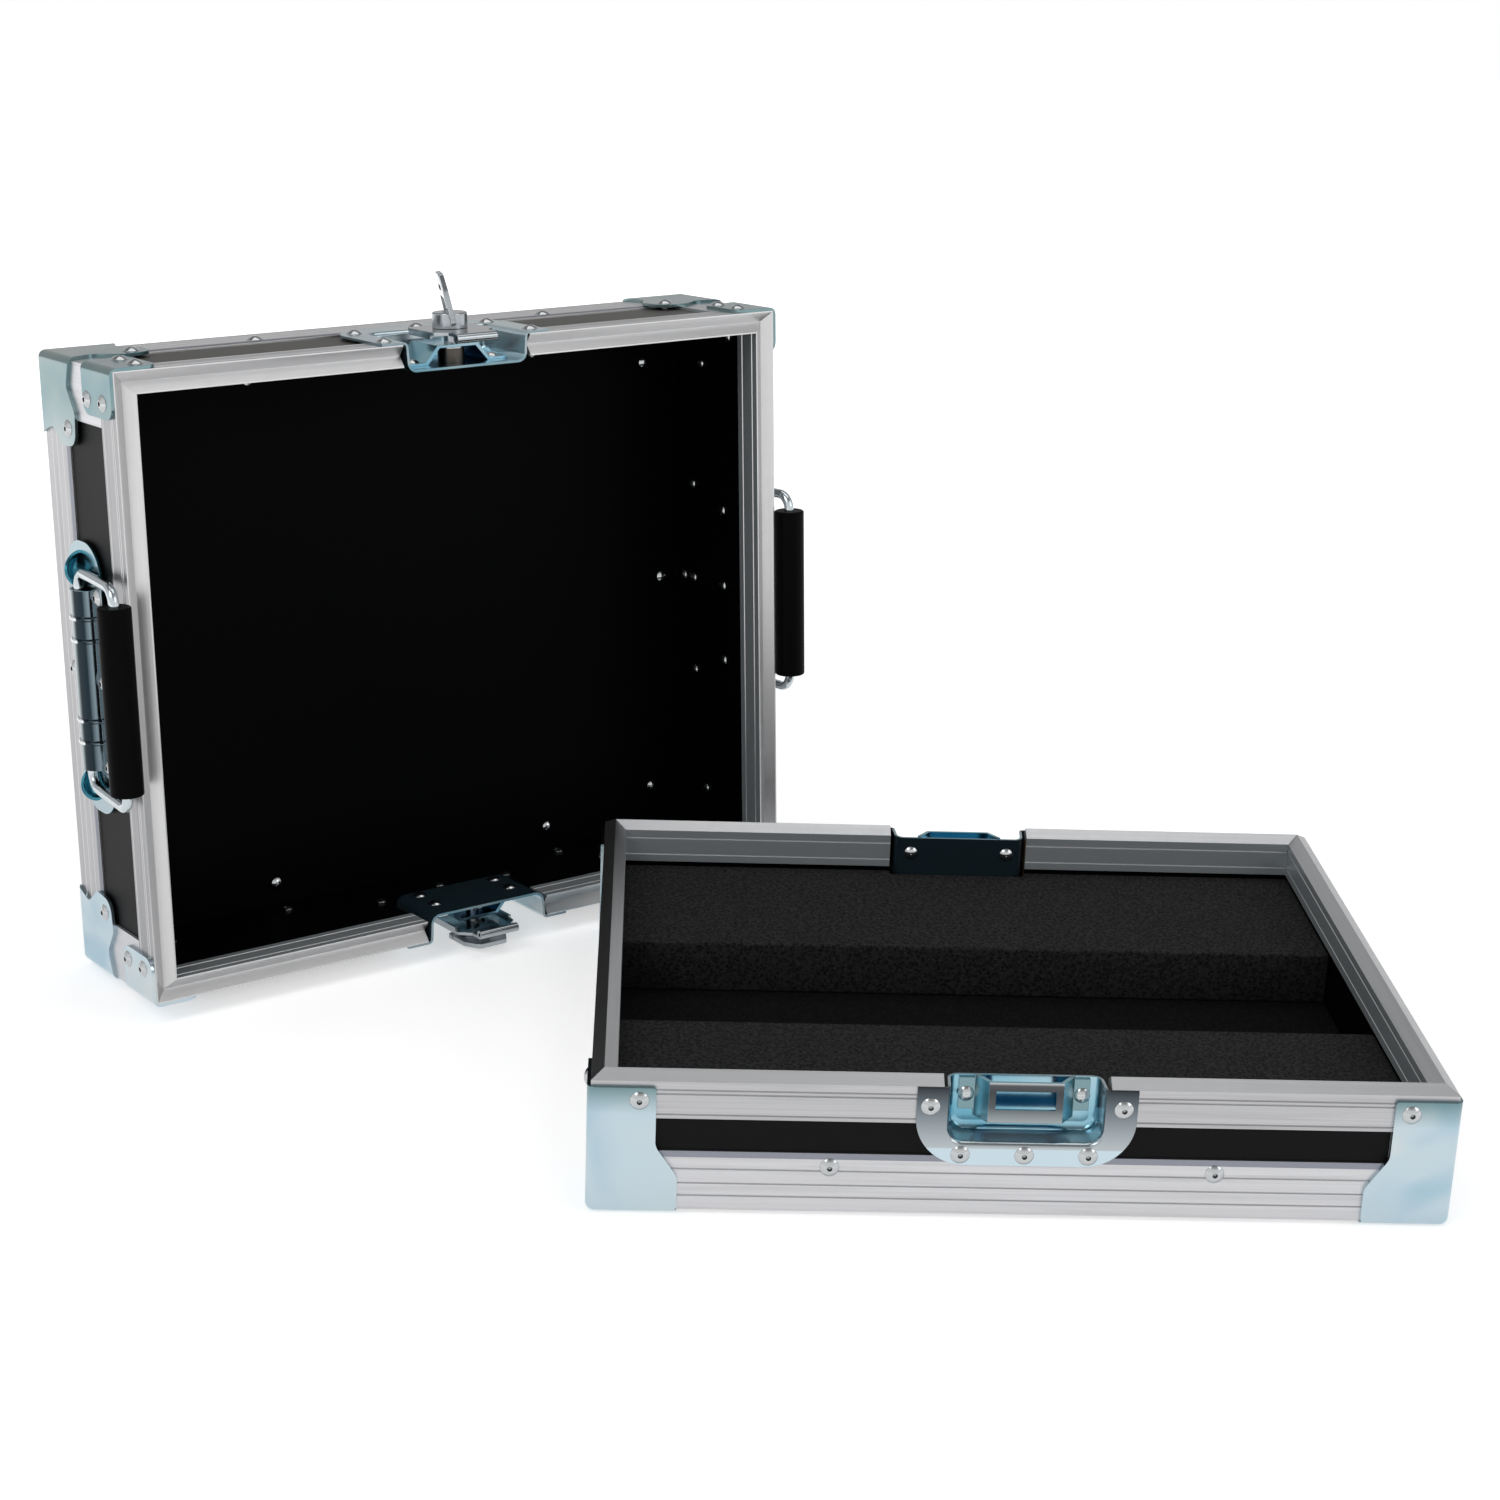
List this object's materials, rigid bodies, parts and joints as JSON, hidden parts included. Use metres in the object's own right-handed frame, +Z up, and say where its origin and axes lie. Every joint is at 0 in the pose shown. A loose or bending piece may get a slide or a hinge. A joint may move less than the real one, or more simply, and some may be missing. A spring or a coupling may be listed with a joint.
{
  "type": "flight case",
  "caption": "Two-part flight case for a mixer: foam-barred base lying open and a deep lift-off lid with butterfly latches and sprung handles.",
  "frame": {"origin": "bottom centre of the box round both halves, on the floor", "axes": "+Z up, +X along the base's long front edge to the right, -Y towards the side the base's front faces"},
  "size_m": [0.7706, 0.5684, 0.4118],
  "materials": {
    "foam": "fine open-cell foam, charcoal",
    "panel": "black smooth phenolic-faced plywood",
    "profile": "satin extruded aluminium with fine ribs",
    "rivet": "bright zinc",
    "grip": "smooth black",
    "brace": "blue-passivated zinc",
    "latch": "bright zinc",
    "wire": "blue-passivated zinc",
    "spring": "spring steel",
    "pressing": "blue-passivated zinc"
  },
  "bodies": {
    "base": {"base_bottom_panel": "panel", "base_front_panel": "panel", "base_rear_panel": "panel", "base_left_panel": "panel", "base_right_panel": "panel", "base_long_edge_profiles": "profile", "base_short_edge_profiles": "profile", "base_corner_profiles": "profile", "base_long_rims": "profile", "base_short_rims": "profile", "base_brace_front_left": "brace", "base_brace_front_right": "brace", "base_brace_rear_right": "brace", "base_brace_rear_left": "brace", "front_keeper_dish": "pressing", "front_keeper": "pressing", "rear_keeper_dish": "pressing", "rear_keeper": "pressing", "base_rivets": "rivet", "base_floor_lining": "foam", "front_foam_bar": "foam", "rear_foam_bar": "foam"},
    "lid": {"lid_back_panel": "panel", "lid_bottom_panel": "panel", "lid_top_panel": "panel", "lid_left_panel": "panel", "lid_right_panel": "panel", "lid_long_edge_profiles": "profile", "lid_short_edge_profiles": "profile", "lid_corner_profiles": "profile", "lid_long_rims": "profile", "lid_short_rims": "profile", "lid_brace_bottom_left": "brace", "lid_brace_bottom_right": "brace", "lid_brace_top_right": "brace", "lid_brace_top_left": "brace", "lid_rim_braces": "brace", "upper_latch_dish": "pressing", "upper_latch_bridge": "pressing", "upper_latch_spring": "spring", "lower_latch_dish": "pressing", "lower_latch_bridge": "pressing", "lower_latch_spring": "spring", "left_handle_plate": "pressing", "right_handle_plate": "pressing", "handle_springs": "spring", "lid_rivets": "rivet"},
    "upper_latch_post": {"upper_latch_spindle": "latch"},
    "upper_latch_rotor": {"upper_latch_hub": "latch"},
    "upper_latch_claw": {"upper_latch_hook": "latch"},
    "upper_latch_butterfly": {"upper_latch_wing": "latch"},
    "lower_latch_post": {"lower_latch_spindle": "latch"},
    "lower_latch_rotor": {"lower_latch_hub": "latch"},
    "lower_latch_claw": {"lower_latch_hook": "latch"},
    "lower_latch_butterfly": {"lower_latch_wing": "latch"},
    "left_handle": {"left_handle_bail": "wire", "left_handle_grip": "grip"},
    "right_handle": {"right_handle_bail": "wire", "right_handle_grip": "grip"}
  },
  "joints": [
    {"name": "lid_lift", "type": "slide", "parent": "base", "child": "lid", "axis": [0, 0, 1], "range_m": [0, 0.3]},
    {"name": "upper_latch_lift", "type": "slide", "parent": "lid", "child": "upper_latch_post", "axis": [-0.0426, 0.064, 0.997], "range_m": [-0.0066, 0], "stiffness_N_per_m": 1500, "springref_m": 0.008, "deforming": ["upper_latch_spring"]},
    {"name": "upper_latch_turn", "type": "hinge", "parent": "upper_latch_post", "child": "upper_latch_rotor", "pos_m": [-0.15586, 0.09322, 0.37905], "axis": [-0.0426, 0.064, 0.997], "range_deg": [-67, 113]},
    {"name": "upper_hook_draw", "type": "slide", "parent": "upper_latch_post", "child": "upper_latch_claw", "axis": [-0.5525, 0.83, -0.0768], "range_m": [-0.00149, 0.00251]},
    {"name": "upper_wing_fold", "type": "hinge", "parent": "upper_latch_rotor", "child": "upper_latch_butterfly", "pos_m": [-0.15617, 0.09368, 0.38623], "axis": [-0.1833, 0.9805, -0.0707], "range_deg": [-78, 102]},
    {"name": "lower_latch_lift", "type": "slide", "parent": "lid", "child": "lower_latch_post", "axis": [0.0426, -0.064, -0.997], "range_m": [-0.00295, 0.00365], "stiffness_N_per_m": 1500, "springref_m": 0.008, "deforming": ["lower_latch_spring"]},
    {"name": "lower_latch_turn", "type": "hinge", "parent": "lower_latch_post", "child": "lower_latch_rotor", "pos_m": [-0.14009, 0.06953, 0.0098], "axis": [0.0426, -0.064, -0.997], "range_deg": [0, 180]},
    {"name": "lower_hook_draw", "type": "slide", "parent": "lower_latch_post", "child": "lower_latch_claw", "axis": [-0.5525, 0.83, -0.0768], "range_m": [0, 0.004]},
    {"name": "lower_wing_fold", "type": "hinge", "parent": "lower_latch_rotor", "child": "lower_latch_butterfly", "pos_m": [-0.13979, 0.06907, 0.00262], "axis": [-0.8324, -0.5541, 0], "range_deg": [-180, 0]},
    {"name": "left_handle_swing", "type": "hinge", "parent": "lid", "child": "left_handle", "pos_m": [-0.35619, -0.01188, 0.18969], "axis": [0.0426, -0.064, -0.997], "range_deg": [0, 90], "stiffness_Nm_per_rad": 0.08, "springref_deg": -45.84},
    {"name": "right_handle_swing", "type": "hinge", "parent": "lid", "child": "right_handle", "pos_m": [0.01841, 0.23747, 0.18969], "axis": [-0.0426, 0.064, 0.997], "range_deg": [0, 90], "stiffness_Nm_per_rad": 0.08, "springref_deg": -45.84}
  ],
  "couplings": [
    {"joint": "upper_hook_draw", "follows": "upper_latch_turn", "m_per_rad": 0.0012732},
    {"joint": "lower_hook_draw", "follows": "lower_latch_turn", "m_per_rad": 0.0012732}
  ]
}
